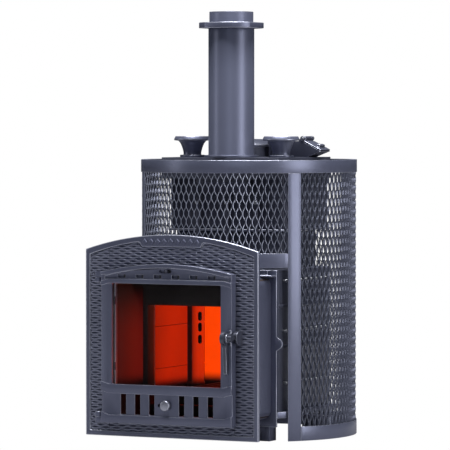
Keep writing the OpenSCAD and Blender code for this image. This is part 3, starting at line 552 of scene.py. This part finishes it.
lozenge_w = 0.0145
lozenge_h = 0.0165
lozenge_proud = 0.0032
lozenge_pitch = 0.0186
lozenge_fall = 0.0012
lozenge_drop = 0.0015
lozenge_bm = bmesh.new()
rings = []
for share, depth in ((1.0, 0.0005), (1.0, -lozenge_proud * 0.6), (0.72, -lozenge_proud)):
    rings.append([
        lozenge_bm.verts.new((share * x * lozenge_w / 2, depth, share * z * lozenge_h / 2))
        for x, z in ((1, 0), (0, 1), (-1, 0), (0, -1))])
for low, high in zip(rings, rings[1:]):
    for k in range(4):
        lozenge_bm.faces.new((low[k], low[(k + 1) % 4], high[(k + 1) % 4], high[k]))
lozenge_bm.faces.new(rings[-1])
lozenge_bm.faces.new(rings[0][::-1])
bmesh.ops.recalc_face_normals(lozenge_bm, faces=lozenge_bm.faces[:])
lozenge_z = (tab_low + portal_high.z) / 2 - lozenge_drop
lozenges = repeat("tab_lozenges", new_mesh("lozenge", lozenge_bm), [
    (Vector((k * lozenge_pitch, portal_low.y, lozenge_z - lozenge_fall * abs(k) / 4)), 0.0)
    for k in range(-4, 5)], cast_paint)
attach(lozenges, "stove")

# ---- Hinges and keeper ----
# Two hinge lugs on the left of the portal carry the pins that the door turns on. The keeper on the
# right is a half-round lug with a notch, where the claw lies while the lever hangs down.
lever_iron = finish("lever_iron", (0.045, 0.048, 0.068), (0.07, 0.074, 0.102), 0.30, 0.4,
                    relief=0.1)
dress("portal_knuckles", cast_paint, 0.0014, edge_paint=edge_highlight)
dress("hinge_pins", lever_iron, 0.0006)
dress("door_keeper", lever_iron, 0.0014, 3, edge_highlight)

# ---- Door ----
# One casting with an arched top. Raised bands run along the arch, above and below the window and
# along the foot. Its back has a pocket for each air plate.
dress("door_frame", cast_paint, 0.0009, 2, edge_highlight, spare=0.002)

# ---- Door glass, rope seal and clips ----
# A clear heat-proof pane, four millimetres thick, which lies in the back of the door on a rope
# seal. Four steel clips hold it.
pane_glass = finish("pane_glass", (0.02, 0.02, 0.02), (0.03, 0.03, 0.03), 0.06,
                    relief=0.0, spread=0.0)
pane_shader = pane_glass.node_tree.nodes["Principled BSDF"]
pane_shader.inputs["Alpha"].default_value = 0.05
pane_shader.inputs["Specular IOR Level"].default_value = 0.2
dress("door_glass", pane_glass, 0.0005)
dress("glass_seal", bpy.data.materials["rope_weave"], 0)
dress("glass_clips", lever_iron, 0.0004)

# ---- Air controls ----
# Two thin steel plates slide behind the openings of the door. A round knob moves the lower one and
# a small pin the upper one, and a liner keeps the lower plate in its pocket.
dark_steel = finish("dark_steel", (0.03, 0.03, 0.035), (0.055, 0.055, 0.065), 0.45, 0.7,
                    relief=0.1)
dress("air_liner", soot_iron)
dress("air_plate", dark_steel, 0.0003)
dress("vent_plate", dark_steel, 0.0003)
dress("vent_pin", lever_iron, 0.0008)
worn_iron = finish("worn_iron", (0.22, 0.23, 0.28), (0.34, 0.35, 0.41), 0.28, 0.8,
                   relief=0.1)
dress("air_knob", worn_iron, 0.0032, 4)

# ---- Door handle ----
# A cast lever on a round hub. Its spindle turns in an ear that is screwed to the door, and the
# claw at its far end lies in the keeper.
dress("handle_bracket", lever_iron, 0.0010, edge_paint=edge_highlight)
dress("door_handle", lever_iron, 0.0007, 2, edge_highlight, spare=0.0014)

# ---- Heater ----
# The closed upper box that holds its own stones. It stands on a ledge above the neck of the
# firebox, and its front has a smoke box to the flue and three ribs that are bolted on.
dress("heater_ledge", cast_paint, 0.0022, 3, edge_highlight)
# The heater's plates carry the darker paint, as painted shade.
for node in ("heater_shell", "heater_breech", "heater_ribs", "heater_cap"):
    dress(node, plate_shade_paint)
dress("rib_bolts", bright_steel, 0.0004)
dress("stone_box", soot_iron)

# ---- Cover, hatch and funnels ----
# On top of the heater stand a round cover, a hopper with a hinged flap for loading stones, and two
# funnels whose pipes lead water down onto the hot stones.
sheet_paint = finish("sheet_paint", (0.095, 0.103, 0.155), (0.12, 0.13, 0.19), 0.36, 0.5,
                     relief=0.08)
# The cover, hopper and flap carry the darker paint as painted shade, with painted highlights on
# their edges.
for node in ("centre_cover", "hatch_hopper", "hatch_flap"):
    dress(node, plate_shade_paint, edge_paint=edge_highlight)
dress("hatch_pin", bright_steel, 0.0004)
for node in ("left_funnel", "right_funnel"):
    dress(node, sheet_paint, 0.0008, edge_paint=edge_highlight)
dress("water_pipes", bright_steel, 0.0004)

# ---- Flue ----
# A welded pipe with a cast collar near its top, above which the narrower spigot goes into the
# chimney.
dress("flue_pipe", sheet_paint, 0.0005)
dress("flue_collar", cast_paint, 0.0014, 3, edge_highlight)

# ---- Bands and posts of the stone cage ----
# Two rolled bands, two upright posts and a cross bar, cut from two-millimetre sheet and spot
# welded. Small angle brackets hold the cage to the tray.
for node in ("cage_base_ring", "left_post", "right_post", "cage_bar", "cage_top_ring",
             "cage_brackets"):
    dress(node, sheet_paint, 0.0006, edge_paint=edge_highlight)

# ---- Stone cage mesh ----
# Expanded steel sheet: wavy strands run up the panel and join their neighbours in turn, so that
# upright diamonds open between them. The sheet is welded behind the bands and the posts.
cell_w = 0.0163
cell_h = 0.04175
strand_w = 0.0037
strand_t = 0.0018
strand_tilt = math.radians(58)
mesh_r = 0.2792
mesh_paint = finish("mesh_paint", (0.065, 0.07, 0.10), (0.095, 0.102, 0.14), 0.38, 0.7,
                    relief=0.08)
# A lighter paint on one narrow side of each strand: a painted highlight along the strands.
strand_highlight = finish("strand_highlight", (0.22, 0.235, 0.30), (0.32, 0.34, 0.42), 0.46, 0.5,
                      relief=0.08)
cell_phase = 0.022
cells_up = 17
wave_stretch = 1.1
front_inset = 0.01


def strand(low, high):
    """One wavy strand of the sheet, from low to high, tilted as the stretching leaves it."""
    swing = cell_w / 4 - strand_w / 2 * math.cos(strand_tilt)
    bm = bmesh.new()
    steps_in_cell = 8
    count = round((high - low) / cell_h * steps_in_cell)
    flat = Vector((math.cos(strand_tilt), -math.sin(strand_tilt), 0)) * strand_w / 2
    thick = Vector((math.sin(strand_tilt), math.cos(strand_tilt), 0)) * strand_t / 2
    last = None
    for i in range(count + 1):
        z = low + cell_h * i / steps_in_cell
        wave = wave_stretch * math.cos(2 * math.pi * (z - cell_phase) / cell_h)
        wave = max(-1, min(1, wave))
        centre = Vector((wave * swing, wave * math.sin(strand_tilt) * strand_w / 2, z))
        ring = [bm.verts.new(centre + a * flat + b * thick)
                for a, b in ((-1, -1), (1, -1), (1, 1), (-1, 1))]
        if last:
            for k in range(4):
                bm.faces.new((last[k], last[(k + 1) % 4], ring[(k + 1) % 4], ring[k]))
        else:
            bm.faces.new(ring[::-1])
        last = ring
    bm.faces.new(last)
    return bm


def trim(piece, low, high):
    """Cuts the strands off at two heights and closes their ends."""
    bm = bmesh.new()
    bm.from_mesh(piece.data)
    for height, up in ((low, -1), (high, 1)):
        cut = bmesh.ops.bisect_plane(
            bm, geom=bm.verts[:] + bm.edges[:] + bm.faces[:], dist=1e-7,
            plane_co=(0, 0, height), plane_no=(0, 0, up), clear_outer=True)
        rim = [e for e in cut["geom_cut"] if isinstance(e, bmesh.types.BMEdge)]
        bmesh.ops.edgeloop_fill(bm, edges=rim)
    bm.to_mesh(piece.data)
    bm.free()


def highlight_side(face):
    """True on the narrow outer side of a strand, where the sheet was sheared and a painted
    highlight goes.
    """
    spoke = Vector((face.center.x - cage.x, face.center.y - cage.y, 0)).normalized()
    along = Vector((-spoke.y, spoke.x, 0))
    return face.normal.dot(along * math.cos(strand_tilt) + spoke * math.sin(strand_tilt)) > 0.8


def mesh_panel(node, from_angle, to_angle, low, high):
    """One panel of the cage: strands side by side along an arc, cut off at low and high."""
    step = cell_w / 2 / mesh_r
    count = round((to_angle - from_angle) / step)
    places = []
    for k in range(count + 1):
        angle = from_angle + step * k
        around = Vector((math.sin(angle), -math.cos(angle), 0)) * mesh_r
        rise = cell_h / 2 * (k % 2)
        places.append((Vector((cage.x, cage.y, rise)) + around, angle))
    pattern = new_mesh("strand", strand(cell_phase - cell_h, cell_phase + cells_up * cell_h))
    panel = repeat(node + "_strands", pattern, places, mesh_paint)
    trim(panel, low, high)
    repaint(panel, strand_highlight, highlight_side)
    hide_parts(node)
    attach(panel, "stove")


post_angle = math.radians(50.7)
mesh_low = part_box("side_mesh")[0][2]
mesh_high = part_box("side_mesh")[1][2]
behind_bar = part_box("front_mesh")[0][2]
mesh_panel("side_mesh", post_angle, 2 * math.pi - post_angle, mesh_low, mesh_high)
mesh_panel("front_mesh", -post_angle + front_inset, post_angle - front_inset,
           behind_bar, mesh_high)

# ---- Fire ----
# A low red light lies over the embers and lights the inside of the firebox from below.
embers = bpy.data.lights.new("embers", "AREA")
embers.energy = 1.2
embers.color = (1.0, 0.08, 0.005)
embers.size = 0.15
ember_lamp = bpy.data.objects.new("embers", embers)
ember_lamp.location = (0.03, cage.y - 0.03, grate_top + 0.02)
ember_lamp.rotation_euler = (math.radians(180), 0, 0)
bpy.context.collection.objects.link(ember_lamp)
